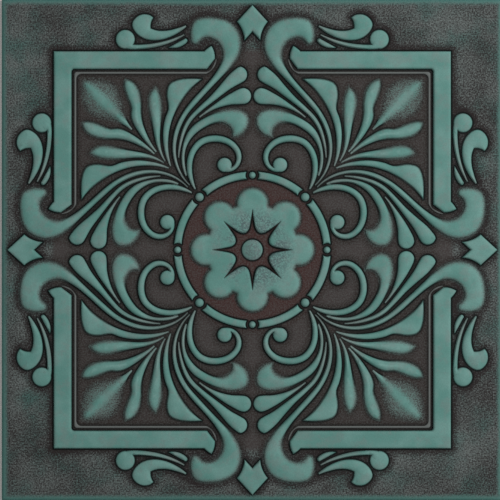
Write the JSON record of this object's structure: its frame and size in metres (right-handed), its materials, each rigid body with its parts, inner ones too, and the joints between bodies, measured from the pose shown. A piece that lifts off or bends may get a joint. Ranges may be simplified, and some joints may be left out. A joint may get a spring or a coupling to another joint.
{
  "type": "foam ceiling tile",
  "caption": "Square glue-up ceiling tile of light foam, its face moulded with a rosette, ring, acanthus scrolls, fan leaves and a broken square frame, with a flat back for adhesive.",
  "frame": {"origin": "centre of the flat back face, where the adhesive goes", "axes": "+Z out of the decorated face, +Y towards the top edge of the picture, +X towards its right edge"},
  "size_m": [0.5, 0.5, 0.01],
  "materials": {
    "painted_foam": "matt hand-painted foam, dark brown ground with verdigris green on the raised work"
  },
  "bodies": {
    "root": {"ceiling_tile": "painted_foam"}
  },
  "joints": []
}
